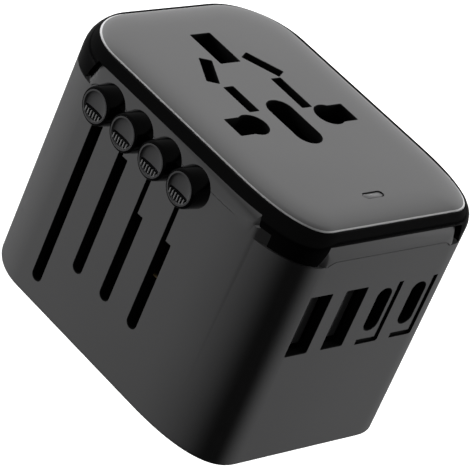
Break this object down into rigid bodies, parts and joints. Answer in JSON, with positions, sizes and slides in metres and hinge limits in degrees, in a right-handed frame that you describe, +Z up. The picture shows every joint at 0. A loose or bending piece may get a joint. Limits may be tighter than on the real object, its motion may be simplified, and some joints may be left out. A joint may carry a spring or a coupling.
{
  "type": "universal travel adapter",
  "caption": "Block travel adapter with a multi-standard socket on top, slide knobs that push out plug pins below, and charging ports in front.",
  "frame": {"origin": "centre of the flat base face where the plug pins come out", "axes": "+Z up through the socket face, +Y away from the charging ports along the longest side, +X to the right seen from the ports; the slide knobs are on -X"},
  "size_m": [0.0554, 0.0684, 0.0512],
  "materials": {
    "shell_plastic": "fine satin moulded texture",
    "plate_plastic": "matt moulded texture with polished edge",
    "gloss_black": "polished",
    "inner_plastic": "satin",
    "frame_plastic": "satin",
    "brass": "plain stamped",
    "nickel": "satin plated",
    "steel": "plain",
    "circuit_board": "solder mask",
    "ferrite": "rough sintered",
    "tape": "wrapped tape",
    "can": "printed sleeve without text",
    "ceramic": "glazed",
    "lens": "translucent"
  },
  "bodies": {
    "case": {"outer_shell": "shell_plastic", "top_ring": "gloss_black", "socket_plate": "plate_plastic", "status_lens": "lens", "base_plate": "shell_plastic", "case_screw_1": "steel", "case_screw_2": "steel", "case_screw_3": "steel", "case_screw_4": "steel", "contact_carrier": "frame_plastic", "line_contact": "brass", "neutral_contact": "brass", "earth_contact": "brass", "inner_frame": "frame_plastic", "usb_board": "circuit_board", "usb_a_shell_1": "nickel", "usb_a_tongue_1": "inner_plastic", "usb_a_shell_2": "nickel", "usb_a_tongue_2": "inner_plastic", "usb_c_shell_1": "nickel", "usb_c_tongue_1": "inner_plastic", "usb_c_shell_2": "nickel", "usb_c_tongue_2": "inner_plastic", "transformer_core": "ferrite", "transformer_winding": "tape", "input_capacitor": "can", "output_capacitor": "can", "fuse": "ceramic", "fuse_clip_left": "brass", "fuse_clip_right": "brass", "indicator_board": "circuit_board", "indicator_led": "ceramic", "shutter_spring": "steel"},
    "eu_set": {"eu_carriage": "inner_plastic", "eu_pin_left": "nickel", "eu_pin_right": "nickel", "eu_knob_spring": "steel"},
    "uk_set": {"uk_carriage": "inner_plastic", "uk_pin_left": "brass", "uk_pin_right": "brass", "uk_earth_pin": "brass", "uk_knob_spring": "steel"},
    "au_set": {"au_carriage": "inner_plastic", "au_blade_left": "brass", "au_blade_right": "brass", "au_knob_spring": "steel"},
    "us_set": {"us_carriage": "inner_plastic", "us_blade_left": "brass", "us_blade_right": "brass", "us_knob_spring": "steel"},
    "eu_button": {"eu_knob": "gloss_black"},
    "uk_button": {"uk_knob": "gloss_black"},
    "au_button": {"au_knob": "gloss_black"},
    "us_button": {"us_knob": "gloss_black"},
    "shutter": {"safety_shutter": "inner_plastic"}
  },
  "joints": [
    {"name": "eu_slide", "type": "slide", "parent": "case", "child": "eu_set", "axis": [0, 0, -1], "range_m": [0, 0.0367]},
    {"name": "eu_press", "type": "slide", "parent": "eu_set", "child": "eu_button", "axis": [1, 0, 0], "range_m": [0, 0.0008], "stiffness_N_per_m": 600, "deforming": ["eu_knob_spring"]},
    {"name": "uk_slide", "type": "slide", "parent": "case", "child": "uk_set", "axis": [0, 0, -1], "range_m": [0, 0.0288]},
    {"name": "uk_press", "type": "slide", "parent": "uk_set", "child": "uk_button", "axis": [1, 0, 0], "range_m": [0, 0.0008], "stiffness_N_per_m": 600, "deforming": ["uk_knob_spring"]},
    {"name": "au_slide", "type": "slide", "parent": "case", "child": "au_set", "axis": [0, 0, -1], "range_m": [0, 0.0288]},
    {"name": "au_press", "type": "slide", "parent": "au_set", "child": "au_button", "axis": [1, 0, 0], "range_m": [0, 0.0008], "stiffness_N_per_m": 600, "deforming": ["au_knob_spring"]},
    {"name": "us_slide", "type": "slide", "parent": "case", "child": "us_set", "axis": [0, 0, -1], "range_m": [0, 0.0288]},
    {"name": "us_press", "type": "slide", "parent": "us_set", "child": "us_button", "axis": [1, 0, 0], "range_m": [0, 0.0008], "stiffness_N_per_m": 600, "deforming": ["us_knob_spring"]},
    {"name": "shutter_slide", "type": "slide", "parent": "case", "child": "shutter", "axis": [0, -1, 0], "range_m": [0, 0.0066], "stiffness_N_per_m": 50, "deforming": ["shutter_spring"]}
  ]
}
